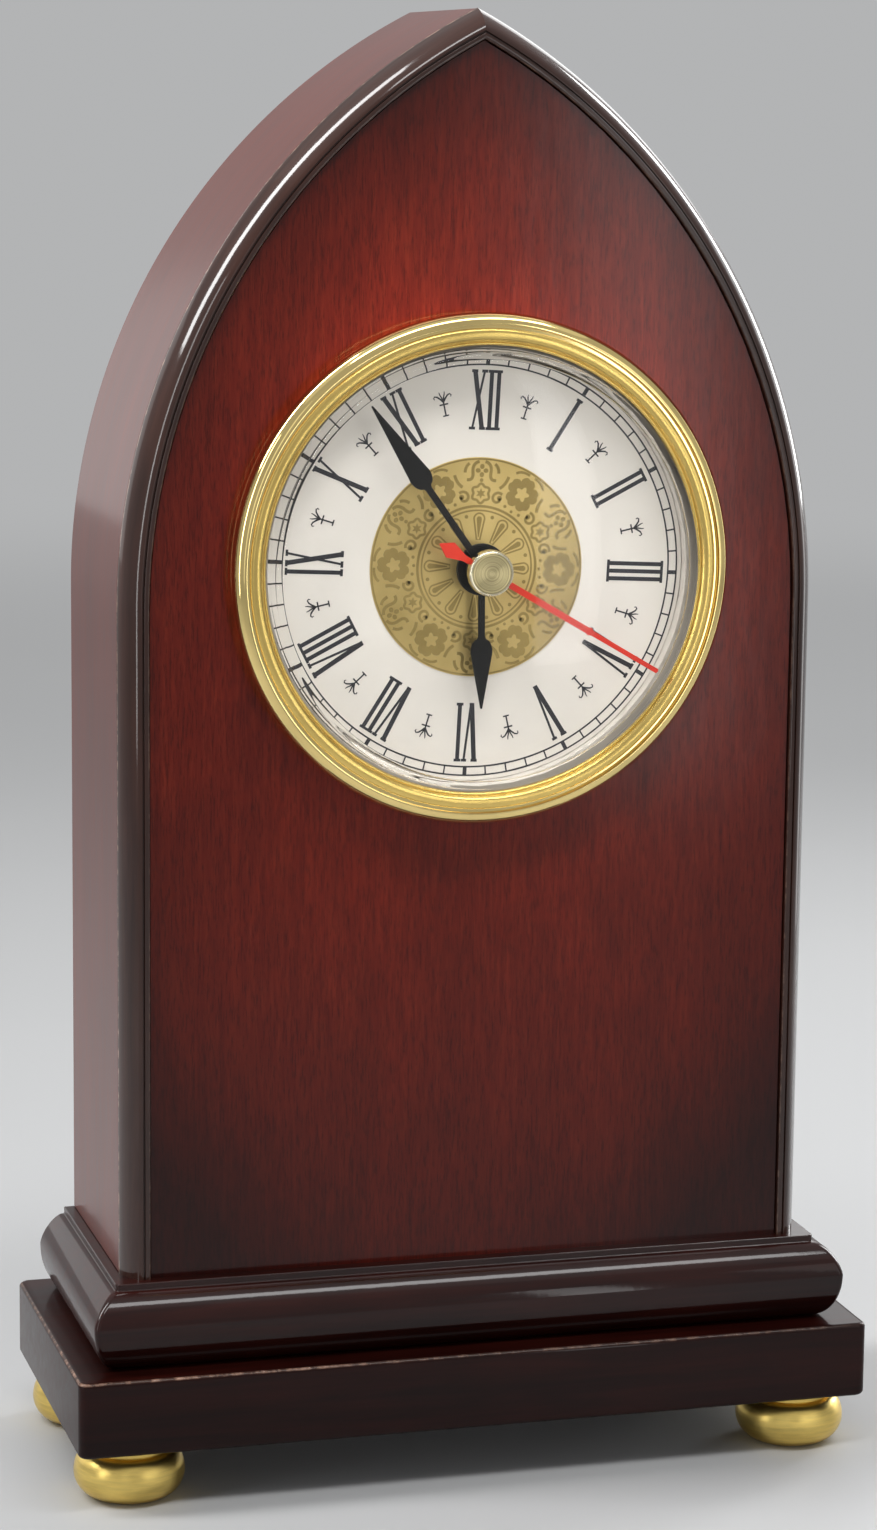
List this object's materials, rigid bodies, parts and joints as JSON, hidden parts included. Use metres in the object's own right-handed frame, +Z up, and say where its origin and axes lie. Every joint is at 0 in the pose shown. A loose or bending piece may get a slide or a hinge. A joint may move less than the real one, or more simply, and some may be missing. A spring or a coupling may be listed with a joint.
{
  "type": "desk clock",
  "caption": "Desk clock: pointed-arch wooden case on a bullnosed plinth with bun feet, a round dial under a raised lens, running hands and a quartz movement set from the back.",
  "frame": {"origin": "on the floor under the middle of the slab", "axes": "+Z up, the dial faces -Y, +X to the right seen from the front"},
  "size_m": [0.148, 0.064, 0.263],
  "materials": {
    "panel_veneer": "red-brown mahogany veneer under gloss lacquer",
    "side_wood": "pinkish brown wood under gloss lacquer",
    "dark_wood": "very dark red-brown wood under gloss lacquer",
    "board": "bare plywood",
    "brass": "polished lacquered brass",
    "train_brass": "plain brass",
    "gold_foil": "thin gold-coloured foil with printed ornament",
    "steel": "zinc-plated steel",
    "dial_paint": "matt cream paint with black print",
    "lens_clear": "clear moulded lens",
    "hand_black": "black painted sheet",
    "hand_red": "red painted sheet",
    "plastic_black": "black moulded plastic",
    "plastic_ivory": "ivory moulded plastic",
    "rubber": "black rubber",
    "circuit": "green circuit board",
    "copper": "enamelled copper winding on its bobbin",
    "cell_wrap": "plain printed wrap"
  },
  "bodies": {
    "case": {"front_panel": "panel_veneer", "left_side": "side_wood", "right_side": "side_wood", "base_slab": "dark_wood", "plinth": "dark_wood", "left_moulding": "dark_wood", "right_moulding": "dark_wood", "back_panel": "dark_wood", "insert_board": "board", "bezel": "brass", "foot_front_left": "brass", "foot_front_right": "brass", "foot_back_left": "brass", "foot_back_right": "brass", "train_plate": "train_brass", "dial_centre": "gold_foil", "foot_screw_front_left": "steel", "foot_screw_front_right": "steel", "foot_screw_back_left": "steel", "foot_screw_back_right": "steel", "base_screw_left": "steel", "base_screw_right": "steel", "back_screw_1": "steel", "back_screw_2": "steel", "back_screw_3": "steel", "back_screw_4": "steel", "movement_screw_1": "steel", "movement_screw_2": "steel", "movement_screw_3": "steel", "movement_screw_4": "steel", "stator": "steel", "contact_positive": "steel", "contact_negative": "steel", "dial": "dial_paint", "lens": "lens_clear", "movement_front_shell": "plastic_black", "movement_rear_shell": "plastic_black", "dial_carrier": "plastic_ivory", "grip_ring": "rubber", "circuit_board": "circuit", "coil": "copper"},
    "second_hand": {"seconds_wheel": "plastic_ivory", "second_hand": "hand_red", "hub_cap": "brass"},
    "third_wheel": {"third_wheel": "plastic_ivory"},
    "intermediate_wheel": {"intermediate_wheel": "plastic_ivory"},
    "rotor": {"rotor": "steel"},
    "centre_wheel": {"centre_wheel": "train_brass"},
    "minute_hand": {"cannon_pinion": "train_brass", "minute_hand": "hand_black"},
    "minute_washer": {"minute_washer": "train_brass"},
    "minute_wheel": {"minute_wheel": "plastic_ivory", "set_knob": "plastic_ivory"},
    "dial_washer": {"dial_washer": "train_brass"},
    "hour_hand": {"hour_wheel": "plastic_ivory", "hour_hand": "hand_black"},
    "battery": {"battery": "cell_wrap"}
  },
  "joints": [
    {"name": "second_hand", "type": "hinge", "parent": "case", "child": "second_hand", "pos_m": [0, 0, 0.1657], "axis": [0, 1, 0], "continuous": true},
    {"name": "third_wheel", "type": "hinge", "parent": "case", "child": "third_wheel", "pos_m": [-0.00439, 0, 0.17197], "axis": [0, 1, 0], "continuous": true},
    {"name": "intermediate_wheel", "type": "hinge", "parent": "case", "child": "intermediate_wheel", "pos_m": [0.00222, 0, 0.17179], "axis": [0, 1, 0], "continuous": true},
    {"name": "rotor", "type": "hinge", "parent": "case", "child": "rotor", "pos_m": [0.00715, 0, 0.17358], "axis": [0, 1, 0], "continuous": true},
    {"name": "centre_wheel", "type": "hinge", "parent": "case", "child": "centre_wheel", "pos_m": [0, 0, 0.1657], "axis": [0, 1, 0], "continuous": true},
    {"name": "minute_hand", "type": "hinge", "parent": "centre_wheel", "child": "minute_hand", "pos_m": [0, 0, 0.1657], "axis": [0, 1, 0], "continuous": true},
    {"name": "minute_washer", "type": "hinge", "parent": "case", "child": "minute_washer", "pos_m": [0.00897, 0, 0.16648], "axis": [0, 1, 0], "continuous": true},
    {"name": "minute_wheel", "type": "hinge", "parent": "minute_washer", "child": "minute_wheel", "pos_m": [0.00897, 0, 0.16648], "axis": [0, 1, 0], "continuous": true},
    {"name": "dial_washer", "type": "hinge", "parent": "case", "child": "dial_washer", "pos_m": [0, 0, 0.1657], "axis": [0, 1, 0], "continuous": true},
    {"name": "hour_hand", "type": "hinge", "parent": "dial_washer", "child": "hour_hand", "pos_m": [0, 0, 0.1657], "axis": [0, 1, 0], "continuous": true},
    {"name": "battery", "type": "slide", "parent": "case", "child": "battery", "axis": [0, 1, 0], "range_m": [0, 0.06]}
  ],
  "couplings": [
    {"joint": "intermediate_wheel", "follows": "second_hand", "ratio": -5},
    {"joint": "rotor", "follows": "second_hand", "ratio": 30},
    {"joint": "third_wheel", "follows": "second_hand", "ratio": -0.13333},
    {"joint": "centre_wheel", "follows": "second_hand", "ratio": 0.016667},
    {"joint": "minute_washer", "follows": "second_hand", "ratio": -0.0055556},
    {"joint": "dial_washer", "follows": "second_hand", "ratio": 0.0013889},
    {"joint": "minute_wheel", "follows": "minute_hand", "ratio": -0.33333},
    {"joint": "hour_hand", "follows": "minute_hand", "ratio": 0.083333}
  ]
}
